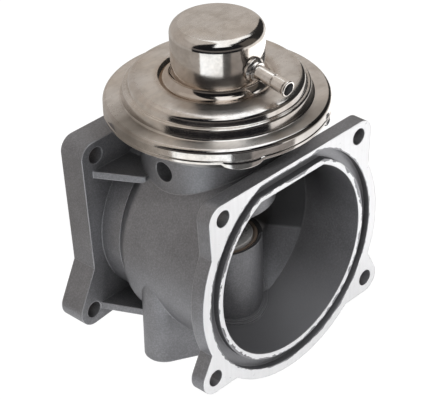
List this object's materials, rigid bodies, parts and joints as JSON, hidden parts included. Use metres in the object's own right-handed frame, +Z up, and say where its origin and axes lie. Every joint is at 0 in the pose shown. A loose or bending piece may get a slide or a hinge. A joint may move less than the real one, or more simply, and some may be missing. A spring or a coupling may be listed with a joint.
{
  "type": "egr valve",
  "caption": "Vacuum operated exhaust gas recirculation valve: round metal diaphragm chamber with a spigot on a flanged cast duct, poppet valve inside.",
  "frame": {"origin": "centre of the exhaust inlet face, on the valve axis", "axes": "+Z up the valve axis to the vacuum chamber, -Y out of the duct mouth, +X to the right of it"},
  "size_m": [0.103, 0.088, 0.1417],
  "materials": {
    "cast_aluminium": "fine as-cast grain, faces machined bright",
    "cover_plated": "bright nickel with a warm tone, polished",
    "steel_pressed": "plain pressed sheet",
    "steel_machined": "turned and ground",
    "steel_screw": "zinc plated",
    "steel_spring": "drawn wire",
    "bronze": "sintered bronze",
    "rubber_black": "moulded matt rubber",
    "gasket_sheet": "compressed fibre sheet"
  },
  "bodies": {
    "body": {"housing": "cast_aluminium", "seat_ring": "steel_machined", "stem_scraper": "bronze", "stem_guide": "bronze", "stem_seal": "rubber_black", "seal_retainer": "steel_pressed", "heat_gasket": "gasket_sheet", "lower_pan": "steel_pressed", "pan_screws": "steel_screw", "cover": "cover_plated", "spring_tower": "cover_plated", "vacuum_spigot": "cover_plated", "spigot_collar": "cover_plated", "spring_seat": "steel_pressed"},
    "valve": {"diaphragm": "rubber_black", "return_spring": "steel_spring", "valve_head": "steel_machined", "valve_stem": "steel_machined", "backing_plate": "steel_pressed", "piston_cup": "steel_pressed", "stem_washer": "steel_pressed", "stem_nut": "steel_screw"}
  },
  "joints": [
    {"name": "valve_lift", "type": "slide", "parent": "body", "child": "valve", "axis": [0, 0, 1], "range_m": [0, 0.0065], "stiffness_N_per_m": 3000, "springref_m": -0.005, "deforming": ["return_spring", "diaphragm"]}
  ]
}
